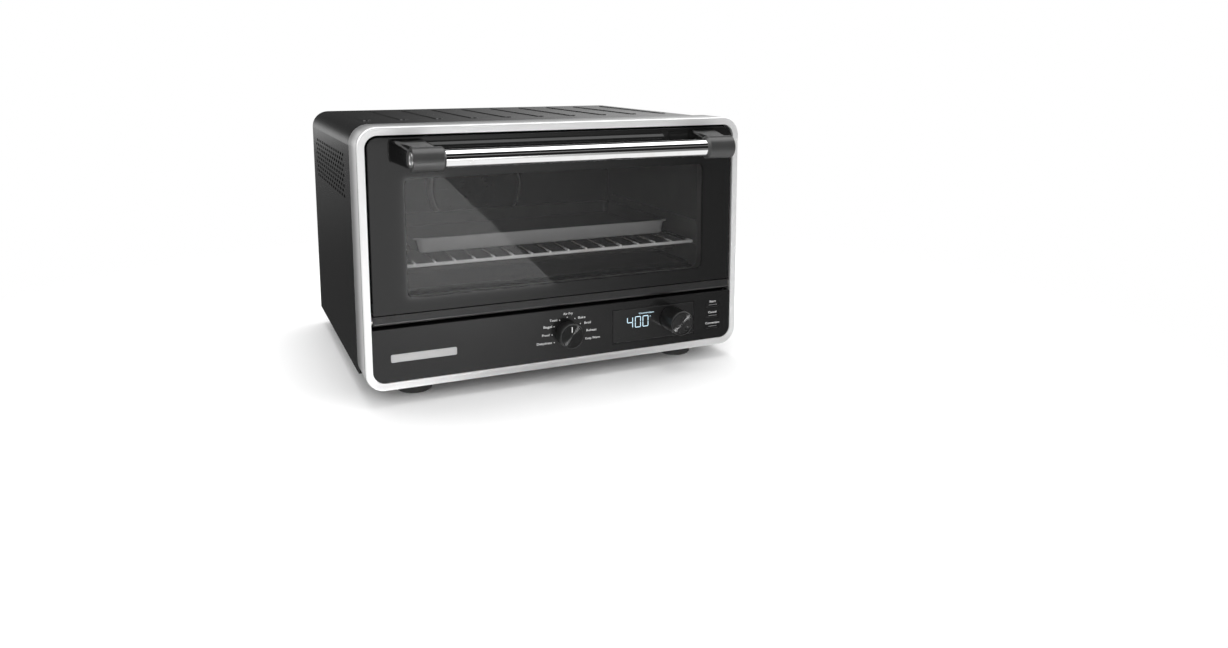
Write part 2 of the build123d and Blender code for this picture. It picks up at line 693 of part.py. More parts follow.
with BuildPart() as mode_knob:
    rod_y(mode_place[0], (-mode_reach, 0.4), mode_place[1], knob_radius)
    front_edge = mode_knob.edges().filter_by(GeomType.CIRCLE).group_by(Axis.Y)[0]
    chamfer(front_edge, 0.7)
    rod_y(mode_place[0], (-mode_reach - 1, -mode_reach + 0.5), mode_place[1], knob_radius - 1.5,
          mode=Mode.SUBTRACT)
    rod_y(mode_place[0], (-mode_reach + 3, 1), mode_place[1], knob_radius - 1.6, mode=Mode.SUBTRACT)
    rod_y(mode_place[0], (-mode_reach + 2.5, 0.4), mode_place[1], 5)
    rod_y(mode_place[0], (-mode_reach + 4, 1), mode_place[1], 3, mode=Mode.SUBTRACT)
keep(mode_knob, "mode_knob")

with BuildPart() as mode_shaft:
    rod_y(mode_place[0], (-mode_reach + 4, board_depth - 1.2), mode_place[1], 3)
    rod_y(mode_place[0], (8.3, 10.3), mode_place[1], 5.5)
keep(mode_shaft, "mode_shaft")

temp_back = -1.2
with BuildPart() as temp_knob:
    rod_y(temp_place[0], (-temp_reach, temp_back), temp_place[1], knob_radius)
    front_edge = temp_knob.edges().filter_by(GeomType.CIRCLE).group_by(Axis.Y)[0]
    chamfer(front_edge, 0.7)
    rod_y(temp_place[0], (-temp_reach - 1, -temp_reach + 0.5), temp_place[1], knob_radius - 1.5,
          mode=Mode.SUBTRACT)
    rod_y(temp_place[0], (-temp_reach + 3, 1), temp_place[1], knob_radius - 1.6, mode=Mode.SUBTRACT)
    rod_y(temp_place[0], (-temp_reach + 2.5, temp_back), temp_place[1], 5)
    rod_y(temp_place[0], (-temp_reach + 4, 1), temp_place[1], 3, mode=Mode.SUBTRACT)
    # a finger dimple near the rim
    with Locations((temp_place[0] + 6, back(-temp_reach - 6), up(temp_place[1] - 6))):
        Sphere(7.4, mode=Mode.SUBTRACT)
keep(temp_knob, "temp_knob")

with BuildPart() as temp_shaft:
    rod_y(temp_place[0], (-temp_reach + 4, board_depth - 3.2), temp_place[1], 3)
keep(temp_shaft, "temp_shaft")

with BuildPart() as temp_rotor:
    rod_y(temp_place[0], (8.3, 10.3), temp_place[1], 5.5)
    rod_y(temp_place[0], (8, 11), temp_place[1], 3 + fit, mode=Mode.SUBTRACT)
keep(temp_rotor, "temp_rotor")

for name, height in button_levels.items():
    with BuildPart() as button:
        with BuildSketch(facing(9.1)):
            with Locations((button_x, up(height))):
                SlotOverall(*button_size)
        extrude(amount=8.9)
        fillet(button.faces().sort_by(Axis.Y)[0].outer_wire().edges(), 1.4)
        with BuildSketch(facing(5.6)):
            with Locations((button_x, up(height))):
                SlotOverall(button_size[0] + 2.4, button_size[1] + 2.4)
        extrude(amount=1.2)
    keep(button, f"{name}_button")

# ---------------------------------------------------------------- rack, pan and tray
with BuildPart() as wire_rack:
    rod_x((-183.5, 183.5), rack_front, rack_level, 2)
    rod_x((-183.5, 183.5), rack_rear - 6, rack_level, 2)
    for sign in sides.values():
        rod_y(sign * 183.5, (rack_front, rack_rear - 6), rack_level, 2)
        for depth in (rack_front, rack_rear - 6):
            with Locations((sign * 183.5, back(depth), up(rack_level))):
                Sphere(2)
    for x in spread(rack_wires, rack_pitch):
        rod_y(x, (rack_front - 2, rack_rear), rack_level + 2.6, 1.25)
        rod_z(x, rack_rear, (rack_level + 2.6, rack_level + 12), 1.25)
        with Locations((x, back(rack_rear), up(rack_level + 2.6))):
            Sphere(1.25)
    rod_x((-160, 160), rack_rear, rack_level + 12, 2)
keep(wire_rack, "wire_rack")

pan_bottom = rack_level + 4.2
pan_height = 17.0
pan_middle = (13, 178)
pan_size = (318, 186)
with BuildPart() as baking_pan:
    with BuildSketch(level(pan_bottom)):
        with Locations((pan_middle[0], back(pan_middle[1]))):
            RectangleRounded(pan_size[0] - 12, pan_size[1] - 12, 6)
    extrude(amount=pan_height, taper=-10)
    fillet(baking_pan.faces().sort_by(Axis.Z)[0].outer_wire().edges(), 2.5)
    with BuildSketch(level(pan_bottom + 0.9)):
        with Locations((pan_middle[0], back(pan_middle[1]))):
            RectangleRounded(pan_size[0] - 14, pan_size[1] - 14, 5)
    extrude(amount=pan_height, taper=-10, mode=Mode.SUBTRACT)
    with BuildSketch(level(pan_bottom + pan_height - 1.2)):
        with Locations((pan_middle[0], back(pan_middle[1]))):
            RectangleRounded(pan_size[0], pan_size[1], 10)
            RectangleRounded(pan_size[0] - 8, pan_size[1] - 8, 7, mode=Mode.SUBTRACT)
    extrude(amount=1.2)
keep(baking_pan, "baking_pan")

tray_level = cavity_floor_level + 0.4
tray_front = 45.0
with BuildPart() as crumb_tray:
    block((-178, 178), (tray_front, 300), (tray_level, tray_level + 6))
    block((-177, 177), (tray_front + 1, 299), (tray_level + 1, tray_level + 7), mode=Mode.SUBTRACT)
    # a folded pull along the front edge
    block((-60, 60), (tray_front - 6, tray_front), (tray_level + 5, tray_level + 6))
keep(crumb_tray, "crumb_tray")
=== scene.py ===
# %% [markdown]
# # Countertop toaster oven
# The oven arrives as a finished set of hard parts, every one at its real size and place.
# This lesson adds what those parts lack: metal, glass, enamel, printing and light.
# Nothing that carries load is remade here, so most steps give a finish to a part that exists.

# %% Load the hard parts
import math

import bmesh
import bpy
from mathutils import Matrix, Vector


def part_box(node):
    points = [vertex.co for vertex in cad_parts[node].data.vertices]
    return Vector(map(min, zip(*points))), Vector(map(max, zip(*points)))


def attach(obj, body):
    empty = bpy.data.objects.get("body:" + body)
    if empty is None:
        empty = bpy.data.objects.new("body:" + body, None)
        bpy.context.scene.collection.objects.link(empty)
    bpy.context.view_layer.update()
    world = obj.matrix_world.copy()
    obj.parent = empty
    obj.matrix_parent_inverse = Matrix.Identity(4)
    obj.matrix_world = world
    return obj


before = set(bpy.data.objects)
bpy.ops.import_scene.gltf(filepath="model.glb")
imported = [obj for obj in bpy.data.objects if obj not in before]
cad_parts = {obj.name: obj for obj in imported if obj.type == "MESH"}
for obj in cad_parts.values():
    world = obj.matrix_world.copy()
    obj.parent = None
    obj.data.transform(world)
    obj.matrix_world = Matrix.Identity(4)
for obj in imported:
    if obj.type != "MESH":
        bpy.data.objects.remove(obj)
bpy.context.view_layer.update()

# %% [markdown]
# Drawings of an oven measure from its front face and from the lower edge of its bezel, so
# this lesson does too: across the oven, back from the front, up from the bezel's foot.
# Sizes are in millimetres, and one function turns such a place into the scene's metres.

# %% Places and sizes
bezel_low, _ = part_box("front_bezel")
front = bezel_low.y
base = bezel_low.z


def mm(*sizes):
    """Millimetres as metres."""
    return tuple(size / 1000 for size in sizes)


def at(across, depth, height):
    """A place across, behind the bezel's front and above its lower edge, in metres."""
    return Vector((across / 1000, front + depth / 1000, base + height / 1000))


def middle_of(node):
    """The middle of a part, as across, depth and height in millimetres."""
    low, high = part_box(node)
    middle = (low + high) / 2
    return middle.x * 1000, (middle.y - front) * 1000, (middle.z - base) * 1000


window = {"left": -172.0, "right": 172.0, "bottom": 95.0, "top": 218.0, "corner": 6.0}
mode_x, _, mode_h = middle_of("mode_shaft")
temp_x, _, temp_h = middle_of("temp_shaft")
lens_x, _, lens_h = middle_of("display_window")
_, bar_depth, bar_height = middle_of("handle_bar")
mode_face = (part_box("mode_knob")[0].y - front) * 1000
temp_face = (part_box("temp_knob")[0].y - front) * 1000
print("bezel front at", round(front, 4), "mode dial", round(mode_x, 2), round(mode_h, 2))

# %% [markdown]
# A finish is a small program of nodes. Written as Python it reads like arithmetic: a value
# stands for one socket, and adding or multiplying values adds the Math nodes that do it.
# Every other node comes from one method, so no finish needs wiring by hand.


# %% Shader expressions
class Value:
    """One socket's output. Arithmetic on it adds Math nodes to its finish."""

    def __init__(self, finish, socket):
        self.finish = finish
        self.socket = socket

    def __add__(self, other):
        return self.finish.math("ADD", self, other)

    __radd__ = __add__

    def __sub__(self, other):
        return self.finish.math("SUBTRACT", self, other)

    def __rsub__(self, other):
        return self.finish.math("SUBTRACT", other, self)

    def __mul__(self, other):
        return self.finish.math("MULTIPLY", self, other)

    __rmul__ = __mul__

    def __truediv__(self, other):
        return self.finish.math("DIVIDE", self, other)

    def __abs__(self):
        return self.finish.math("ABSOLUTE", self)


class Finish:
    """A procedural material, or the world, while its nodes are being laid out."""

    def __init__(self, name, tree=None):
        self.material = None if tree else bpy.data.materials.new(name)
        if tree is None:
            self.material.use_nodes = True
            tree = self.material.node_tree
        self.tree = tree
        self.tree.nodes.clear()

    def node(self, kind, settings=None, inputs=None, output=0):
        """Add a node: its settings first, then its sockets; returns one output."""
        made = self.tree.nodes.new(kind)
        for key, value in (settings or {}).items():
            setattr(made, key, value)
        for key, value in (inputs or {}).items():
            if isinstance(value, Value):
                self.tree.links.new(value.socket, made.inputs[key])
            else:
                made.inputs[key].default_value = value
        return Value(self, made.outputs[output]) if made.outputs else None

    def math(self, operation, *values):
        return self.node("ShaderNodeMath", {"operation": operation}, dict(enumerate(values)))

    def vector(self, operation, *values, output=0):
        settings = {"operation": operation}
        return self.node("ShaderNodeVectorMath", settings, dict(enumerate(values)), output)

    def rise(self, value, low, high):
        """0 below low, 1 above high, smooth between."""
        settings = {"interpolation_type": "SMOOTHSTEP"}
        inputs = {"Value": value, "From Min": low, "From Max": high}
        return self.node("ShaderNodeMapRange", settings, inputs)

    def blend(self, share, first, second):
        """A colour between two colours."""
        inputs = {0: share, 6: first, 7: second}
        return self.node("ShaderNodeMix", {"data_type": "RGBA"}, inputs, 2)

    def place(self):
        """The point on the object, in metres."""
        return self.node("ShaderNodeTexCoord", output="Object")

    def outputs(self, value):
        """Every output of the node that a value comes from."""
        return [Value(self, socket) for socket in value.socket.node.outputs]

    def parts(self, point):
        """The x, y and z of a point or direction."""
        return self.outputs(self.node("ShaderNodeSeparateXYZ", None, {0: point}))

    def drawing(self):
        """The point as across, depth and height, in millimetres."""
        x, y, z = self.parts(self.place())
        return x * 1000, (y - front) * 1000, (z - base) * 1000

    def length(self, first, second):
        """The length of the diagonal of two distances."""
        return self.math("SQRT", first * first + second * second)

    def noise(self, grain, detail=2, stretch=(1, 1, 1)):
        """Noise with features of about one grain, in millimetres."""
        scaled = self.vector("MULTIPLY", self.place(), stretch)
        inputs = {"Vector": scaled, "Scale": 1000 / grain, "Detail": detail}
        return self.node("ShaderNodeTexNoise", None, inputs)

    def spots(self, grain, feature="F1", output="Distance"):
        """Cells of about one grain, in millimetres."""
        inputs = {"Vector": self.place(), "Scale": 1000 / grain}
        return self.node("ShaderNodeTexVoronoi", {"feature": feature}, inputs, output)

    def crystals(self, grain):
        """One level of grey for each cell of about one grain, in millimetres."""
        shades = self.spots(grain, output="Color")
        return self.vector("DOT_PRODUCT", shades, (0.33, 0.33, 0.33), output="Value")

    def bump(self, height, depth):
        """A normal from a height that stands depth millimetres proud."""
        return self.node("ShaderNodeBump", None, {"Height": height, "Distance": depth / 1000})

    def mixed(self, share, first, second):
        """A shader between two shaders."""
        return self.node("ShaderNodeMixShader", None, {0: share, 1: first, 2: second})

    def principled(self, colour, roughness, metallic=0.0, normal=None, **constants):
        """The main shader. Constants are set on its own sockets, by their names."""
        inputs = {"Base Color": colour, "Roughness": roughness, "Metallic": metallic}
        if normal is not None:
            inputs["Normal"] = normal
        for key, value in constants.items():
            inputs[key.replace("_", " ").title().replace("Ior", "IOR")] = value
        return self.node("ShaderNodeBsdfPrincipled", None, inputs)

    def finish_with(self, shader):
        """Send the shader to the surface and give back the material."""
        self.node("ShaderNodeOutputMaterial", None, {"Surface": shader})
        return self.material


def grey(level, warm=0.0):
    """A neutral colour, or one leaning a little warm."""
    return (level * (1 + warm), level, level * (1 - warm), 1)


def dress(material, *nodes):
    """Give hard parts their finish."""
    for name in nodes:
        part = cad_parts[name]
        if not part.material_slots:
            part.data.materials.append(material)
        for slot in part.material_slots:
            slot.material = material
    print(material.name, "on", len(nodes), "parts")


# %% [markdown]
# The wrap is one sheet of steel with a baked satin-black paint. Baked paint is smooth at
# arm's length but has a faint orange peel, and it picks up fine dust that dulls it unevenly.
# A shallow noise bends the normal for the peel, and a broader one moves the roughness.

# %% Satin black paint
paint = Finish("satin_black_paint")
peel = paint.noise(1.6, 2)
haze = paint.noise(38, 3)
dust = paint.rise(paint.noise(0.5, 1), 0.66, 0.8)
paint_colour = paint.blend(dust * 0.35, grey(0.0085), grey(0.03))
paint_rough = 0.17 + haze * 0.07 + dust * 0.1
satin_black = paint.finish_with(
    paint.principled(paint_colour, paint_rough, normal=paint.bump(peel, 0.004),
                     specular_ior_level=0.5))
dress(satin_black, "outer_wrap", "rear_cover", "base_pan")

# %% [markdown]
# The bezel is drawn from bright stainless steel and then brushed along its own run: across
# on the top and bottom bands, upwards on the sides. Two long thin noises make the two
# directions, and the drawing's across coordinate chooses between them near the corners. The
# brushing scatters much of the light, so the metal is only half a mirror. A fine groove
# parts the front lip from the side band, and its dark line is painted shade. The band is
# painted darker towards its rear edge and on its top as painted shade, and the middle of the
# lower lip is painted darker as the shadow of the table under it.

# %% Brushed bezel steel
brushed = Finish("brushed_bezel_steel")
across, depth, height = brushed.drawing()
upright = brushed.rise(abs(across), 200, 207)
run = brushed.noise(0.35, 3, (0.012, 1, 1))
climb = brushed.noise(0.35, 3, (1, 1, 0.012))
grain = run * (1 - upright) + climb * upright
smear = brushed.noise(55, 2)
# Painted shade darkens the fine groove between the lip and the band.
painted_groove_shade = 1 - brushed.rise(abs(depth - 4.3), 0.3, 0.9)
lip_colour = brushed.blend(grain, grey(0.86), grey(0.97))
# Painted shade: the band is darker towards its rear edge and on its top.
side_painted_shade_colour = brushed.blend(brushed.rise(depth, 6, 44), lip_colour, grey(0.33))
top_painted_shade = brushed.rise(height, 264, 268) * brushed.rise(depth, 3, 10)
band_painted_shade_colour = brushed.blend(top_painted_shade * 0.5, side_painted_shade_colour, grey(0.2))
# Painted shadow of the table in the middle of the lower lip.
middle = 1 - brushed.rise(abs(across), 40, 190)
low_lip_painted_shadow = (1 - brushed.rise(height, 4, 14)) * (0.3 + middle * 0.5)
lip_painted_shadow_colour = brushed.blend(low_lip_painted_shadow, band_painted_shade_colour, grey(0.3))
bezel_colour = brushed.blend(painted_groove_shade, lip_painted_shadow_colour, grey(0.12))
bezel_rough = 0.26 + grain * 0.14 + smear * 0.06
bright_steel = brushed.finish_with(
    brushed.principled(bezel_colour, bezel_rough, 0.5, brushed.bump(grain, 0.0035)))
dress(bright_steel, "front_bezel")

# %% [markdown]
# The handle's tube is chromed and polished, so it shows the room almost like a mirror.
# Only fingerprints and fine wiping marks break it, and both live in the roughness.

# %% Polished chrome
chrome = Finish("polished_chrome")
prints = chrome.rise(chrome.noise(16, 4), 0.48, 0.75)
wiping = chrome.noise(0.4, 2, (0.02, 1, 1))
polished_chrome = chrome.finish_with(
    chrome.principled(chrome.blend(prints, grey(0.93), grey(0.88, 0.01)),
                      0.045 + prints * 0.05 + wiping * 0.03, 1.0,
                      chrome.bump(wiping, 0.0006)))
dress(polished_chrome, "handle_bar")

# %% [markdown]
# The rear spacers, the cord gland and the rail under the glass are moulded in black plastic
# with a fine spark-eroded grain: tiny rounded pits that make the highlights wide and soft.
# The rail gets it below, with the glass it holds.

# %% Moulded black plastic
moulded = Finish("moulded_black_plastic")
pits = moulded.spots(0.32)
cloud = moulded.noise(9, 2)
black_plastic = moulded.finish_with(
    moulded.principled(moulded.blend(cloud, grey(0.008), grey(0.013)), 0.3 + cloud * 0.08,
                       normal=moulded.bump(pits, 0.006), specular_ior_level=0.55))
dress(black_plastic, "rear_spacers", "cord_gland")

# %% [markdown]
# The buttons are the same plastic with a finer grain and less gloss, so a finger mark
# hardly shows.

# %% Button plastic
keys = Finish("matt_button_black")
key_pits = keys.spots(0.3)
key_black = keys.finish_with(
    keys.principled(keys.blend(key_pits, grey(0.005), grey(0.008)), 0.36 + key_pits * 0.06,
                    normal=keys.bump(key_pits, 0.002), specular_ior_level=0.25))
dress(key_black, "start_button", "cancel_button", "convection_button")

# %% [markdown]
# Each handle bracket is one moulding: a satin cap round the tube, painted lighter for its
# soft highlight, and a smoother arm behind it, painted near black as shade. The distance
# from the tube's axis tells them apart.

# %% Handle brackets
caps = Finish("satin_handle_black")
cap_pits = caps.spots(0.3)
cap_haze = caps.noise(14, 2)
_, depth, height = caps.drawing()
from_axis = caps.length(depth - bar_depth, height - bar_height)
cap_reach = 12.3
arm_start = 13.0
on_arm = caps.rise(from_axis, cap_reach, arm_start)
# Painted light and shade: the cap is lighter for its soft highlight, and the arm is near black as
# shade.
cap_light_arm_shade_colour = caps.blend(on_arm, caps.blend(cap_haze, grey(0.036), grey(0.05)), grey(0.003))
cap_black = caps.finish_with(
    caps.principled(cap_light_arm_shade_colour, 0.3 + cap_haze * 0.05 - on_arm * 0.16,
                    normal=caps.bump(cap_pits, 0.002), specular_ior_level=0.5))
dress(cap_black, "handle_bracket_left", "handle_bracket_right")

# %% [markdown]
# The door's outer pane is tempered glass with a black ceramic border fired onto its back.
# One material does both: a rounded-rectangle distance gives the border its mask, a mix by
# Fresnel makes the clear part, and a shallow waviness is the mark of tempering rollers.
# Each pane mirrors weakly and on its front face only, as coated oven glass nearly does, and
# a trace of grease on it scatters a little light.


# %% Printed door glass
glass_tint = 0.93
mirror_share = 0.3
glass_film = 0.002


def pane(finish, wave, grease):
    """Clear glass: tinted light passes through, and the surface reflects by angle."""
    clean = finish.node("ShaderNodeBsdfTransparent", None, {"Color": grey(glass_tint)})
    smear = finish.node("ShaderNodeBsdfDiffuse", None, {"Color": grey(0.9)})
    through = finish.mixed(grease, clean, smear)
    inputs = {"Color": grey(1.0), "Roughness": glass_film, "Normal": wave}
    mirror = finish.node("ShaderNodeBsdfGlossy", None, inputs)
    angle = finish.node("ShaderNodeFresnel", None, {"IOR": 1.5, "Normal": wave})
    behind = finish.node("ShaderNodeNewGeometry", output="Backfacing")
    share = angle * (1 - behind) * mirror_share
    return finish.mixed(share, through, mirror)


def outside_window(finish):
    """Millimetres outside the clear window's rounded outline, negative inside."""
    across, _, height = finish.drawing()
    half_width = (window["right"] - window["left"]) / 2 - window["corner"]
    half_height = (window["top"] - window["bottom"]) / 2 - window["corner"]
    beyond_x = abs(across - (window["right"] + window["left"]) / 2) - half_width
    beyond_h = abs(height - (window["top"] + window["bottom"]) / 2) - half_height
    reach_x = finish.math("MAXIMUM", beyond_x, 0.0)
    reach_h = finish.math("MAXIMUM", beyond_h, 0.0)
    corner = finish.length(reach_x, reach_h)
    inner = finish.math("MINIMUM", finish.math("MAXIMUM", beyond_x, beyond_h), 0.0)
    return corner + inner - window["corner"]


glass = Finish("printed_door_glass")
outer_wave = glass.bump(glass.noise(60, 1, (1, 1, 0.3)), 0.004)
frit = glass.noise(0.25, 1)
border = glass.principled(glass.blend(frit, grey(0.008), grey(0.013)), 0.035 + frit * 0.01,
                          normal=outer_wave, specular_ior_level=0.5)
printed = glass.rise(outside_window(glass), -0.25, 0.25)
printed_glass = glass.finish_with(glass.mixed(printed, pane(glass, outer_wave, 0.008), border))
dress(printed_glass, "door_glass_outer")
dress(black_plastic, "door_rail")

# %% [markdown]
# The inner pane is plain heat-resisting glass with a faint film that holds warmth in. It
# is the second mirror behind the window, so what the pane in front shows, it doubles.

# %% Inner glass
inner = Finish("inner_door_glass")
inner_wave = inner.bump(inner.noise(80, 1), 0.003)
inner_glass = inner.finish_with(pane(inner, inner_wave, 0.002))
dress(inner_glass, "door_glass_inner")

# %% [markdown]
# The control panel is moulded in black and lacquered to match the glass above it.

# %% Control panel lacquer
lacquer = Finish("control_panel_lacquer")
lacquer_peel = lacquer.noise(2.2, 1)
lacquer_haze = lacquer.noise(30, 2)
panel_black = lacquer.finish_with(
    lacquer.principled(lacquer.blend(lacquer_haze, grey(0.008), grey(0.011)),
                       0.14 + lacquer_haze * 0.06, normal=lacquer.bump(lacquer_peel, 0.0012),
                       specular_ior_level=0.45))
dress(panel_black, "control_fascia")

# %% [markdown]
# The lens over the display is smoked acrylic of the same gloss, a shade lighter. A dull
# black line about a millimetre wide follows its edge, where it is bedded in the panel.

# %% Display lens
smoked = Finish("smoked_display_lens")
lens_haze = smoked.noise(22, 2)
across, _, height = smoked.drawing()
lens_low, lens_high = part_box("display_window")
half_wide = (lens_high.x - lens_low.x) * 500
half_tall = (lens_high.z - lens_low.z) * 500
from_side = half_wide - abs(across - lens_x)
from_top = half_tall - abs(height - lens_h)
from_edge = smoked.math("MINIMUM", from_side, from_top)
inside = smoked.rise(from_edge, 0.8, 1.2)
smoke = smoked.blend(lens_haze, grey(0.013), grey(0.017))
lens_black = smoked.finish_with(
    smoked.principled(smoked.blend(inside, grey(0.001), smoke), 0.75 - inside * 0.63,
                      normal=smoked.bump(inside, 0.5), specular_ior_level=0.5))
dress(lens_black, "display_window", "display_module")

# %% [markdown]
# Both dials are turned from aluminium and anodised black, with a face spun on a lathe. The
# lathe leaves rings too fine to see, and it is those rings that throw the fan-shaped gleam.
# Here the normal leans in and out along the radius, so the light finds the rings by itself.
# The turned edge of the face is cut last and shows a little bare metal.


# %% Spun dials
face_radius = 12.4
rim_radius = 12.6


def spun_dial(name, centre_x, centre_h, face, painted_face_sheen):
    """Black anodised aluminium with a spun face at one depth, and the face's colour, a painted
    sheen.
    """
    dial = Finish(name)
    across, depth, height = dial.drawing()
    out_x = across - centre_x
    out_h = height - centre_h
    radius = dial.length(out_x, out_h)
    ring = dial.math("SINE", radius * 23.0 + dial.noise(0.2, 0) * 6.0)
    lean = ring * 0.36 / dial.math("MAXIMUM", radius, 0.4)
    tilt = dial.node("ShaderNodeCombineXYZ", None, {0: lean * out_x, 1: -1.0, 2: lean * out_h})
    turned = dial.node("ShaderNodeVectorTransform",
                       {"vector_type": "NORMAL", "convert_from": "OBJECT", "convert_to": "WORLD"},
                       {0: tilt})
    plain = dial.node("ShaderNodeNewGeometry", output="Normal")
    in_front = 1 - dial.rise(depth, face + 0.9, face + 1.1)
    past_face = dial.rise(radius, face_radius, rim_radius)
    on_face = in_front * (1 - past_face)
    at_edge = in_front * past_face
    both = {0: on_face, 4: plain, 5: turned}
    leaning = dial.node("ShaderNodeMix", {"data_type": "VECTOR"}, both, 1)
    normal = dial.vector("NORMALIZE", leaning)
    colour = dial.blend(at_edge, dial.blend(on_face, grey(0.010), grey(painted_face_sheen)), grey(0.055))
    rough = 0.26 - on_face * 0.12 + dial.noise(1.2, 2) * 0.05
    metal = dial.math("MAXIMUM", on_face * 0.9, at_edge)
    return dial.finish_with(dial.principled(colour, rough, metal, normal))


# Painted sheen: the temperature dial's face is coloured brighter than the mode dial's.
mode_spun = spun_dial("spun_mode_dial", mode_x, mode_h, mode_face, 0.030)
temp_spun = spun_dial("spun_temperature_dial", temp_x, temp_h, temp_face, 0.052)
dress(mode_spun, "mode_knob")
dress(temp_spun, "temp_knob")

# %% [markdown]
# The cavity's roof, floor and rear wall are steel in a dark non-stick enamel, speckled as
# baked enamel is. The flange round the opening, the crumb tray and the fan share it.

# %% Cavity enamel
enamel = Finish("dark_cavity_enamel")
speckle = enamel.rise(enamel.noise(0.7, 2), 0.62, 0.72)
bake = enamel.noise(45, 3)
cavity_dark = enamel.finish_with(
    enamel.principled(enamel.blend(speckle, grey(0.008), grey(0.03)), 0.42 + bake * 0.16,
                      0.2, enamel.bump(speckle, 0.001), specular_ior_level=0.3))
dress(cavity_dark, "cavity_roof", "cavity_floor", "cavity_rear_wall", "cavity_front_flange",
      "fan_wheel", "crumb_tray")

# %% [markdown]
# The side walls and the door's frame are left as dark aluminised steel. Where they turn
# towards the door they catch a little light, which is what shows the rack's guides.

# %% Dark cavity steel
lining = Finish("dark_cavity_steel")
rolled = lining.noise(0.6, 3, (1, 0.04, 1))
tarnish = lining.noise(30, 3)
cavity_steel = lining.finish_with(
    lining.principled(lining.blend(tarnish, grey(0.15), grey(0.22, 0.03)),
                      0.3 + rolled * 0.12, 0.6, lining.bump(rolled, 0.004)))
dress(cavity_steel, "cavity_left_wall", "cavity_right_wall", "door_frame")

# %% [markdown]
# Rack wire is drawn steel with bright nickel plating. Drawing leaves faint lines along the
# wire and heat yellows it a little in patches. Behind its front wire the rack is painted
# dark as the shade deep in the cavity, so the front wire stands out.

# %% Bright rack wire
wire = Finish("bright_rack_wire")
heat = wire.rise(wire.noise(24, 3), 0.5, 0.8)
draw = wire.noise(0.3, 2)
_, depth, _ = wire.drawing()
rack_front = (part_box("wire_rack")[0].y - front) * 1000
# Painted shade: the wires behind the front wire are coloured dark brown-grey.
rear_painted_shade = wire.rise(depth, rack_front + 5, rack_front + 22)
nickel_wire_colour = wire.blend(heat, grey(0.98), grey(0.9, 0.04))
bright_wire = wire.finish_with(
    wire.principled(wire.blend(rear_painted_shade, nickel_wire_colour, grey(0.16, 0.15)), 0.14 + draw * 0.1,
                    0.1 + rear_painted_shade * 0.9, wire.bump(draw, 0.001)))
dress(bright_wire, "wire_rack")

# %% [markdown]
# The fan's cover is enamelled like the cavity. Its rolled rim is painted pale, a painted
# highlight that shows as a ring round the dark disc.

# %% Fan cover
cover = Finish("enamelled_fan_cover")
across, _, height = cover.drawing()
cover_x, _, cover_h = middle_of("fan_cover")
cover_reach = (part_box("fan_cover")[1].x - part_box("fan_cover")[0].x) * 500
from_middle = cover.length(across - cover_x, height - cover_h)
# Painted highlight: a pale ring on the cover's rim.
rim_painted_highlight = cover.rise(from_middle, cover_reach - 5, cover_reach - 3)
soot = cover.noise(20, 3)
cover_enamel = cover.finish_with(
    cover.principled(cover.blend(rim_painted_highlight, cover.blend(soot, grey(0.006), grey(0.012)), grey(0.5)),
                     0.4 + soot * 0.1, rim_painted_highlight * 0.4, specular_ior_level=0.3))
dress(cover_enamel, "fan_cover")

# %% [markdown]
# The baking pan is aluminised steel: a grey metal skin with a soft frosty grain. Behind its
# front rim it is painted dark as the shade inside the oven.

# %% Aluminised pan
pan = Finish("aluminised_pan")
frost = pan.crystals(1.1)
scuff = pan.noise(0.5, 2, (0.05, 1, 1))
_, depth, _ = pan.drawing()
pan_front = (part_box("baking_pan")[0].y - front) * 1000
# Painted shade: everything behind the pan's front rim is coloured dark.
inside_painted_shade = pan.rise(depth, pan_front + 7, pan_front + 9)
bare_pan = pan.blend(frost, grey(0.6), grey(0.75))
pan_metal = pan.finish_with(
    pan.principled(pan.blend(inside_painted_shade, bare_pan, grey(0.05)), 0.34 + scuff * 0.14,
                   0.4 - inside_painted_shade * 0.3, pan.bump(scuff, 0.004)))
dress(pan_metal, "baking_pan")

# %% [markdown]
# Brackets, springs, pins and screws are zinc plated. Plating shows small crystals, seen as
# cells of slightly different grey.

# %% Zinc plate
zinc = Finish("zinc_plate")
crystal = zinc.crystals(1.8)
plated = zinc.finish_with(
    zinc.principled(zinc.blend(crystal, grey(0.46), grey(0.62)), 0.28 + crystal * 0.12,
                    1.0, zinc.bump(zinc.noise(0.4, 2), 0.004)))
dress(plated, "hinge_bracket_left", "hinge_bracket_right", "hinge_pins", "door_springs",
      "cover_screws", "foot_screws", "handle_screws", "motor_bracket",
      "mode_shaft", "temp_shaft", "temp_rotor", "temperature_probe", "thermal_cutout")

# %% [markdown]
# The medallions in the handle's ends are satin aluminium, brushed across.

# %% Satin aluminium
satin = Finish("satin_aluminium")
lines = satin.noise(0.28, 3, (0.02, 1, 1))
satin_metal = satin.finish_with(
    satin.principled(satin.blend(lines, grey(0.7), grey(0.86)), 0.22 + lines * 0.16, 1.0,
                     satin.bump(lines, 0.003)))
dress(satin_metal, "handle_medallions")

# %% [markdown]
# The plate on the panel carries no name. It is a blank badge, brushed like the medallions
# but darker.

# %% Blank badge
badge = Finish("brushed_blank_badge")
badge_lines = badge.noise(0.28, 3, (0.02, 1, 1))
badge_metal = badge.finish_with(
    badge.principled(badge.blend(badge_lines, grey(0.42), grey(0.54)), 0.24 + badge_lines * 0.14,
                     0.9, badge.bump(badge_lines, 0.002)))
dress(badge_metal, "nameplate")

# %% [markdown]
# Heater rods are a nickel alloy tube that has gone dull and brown-grey with firing. Their
# ends sit in white ceramic bushes.

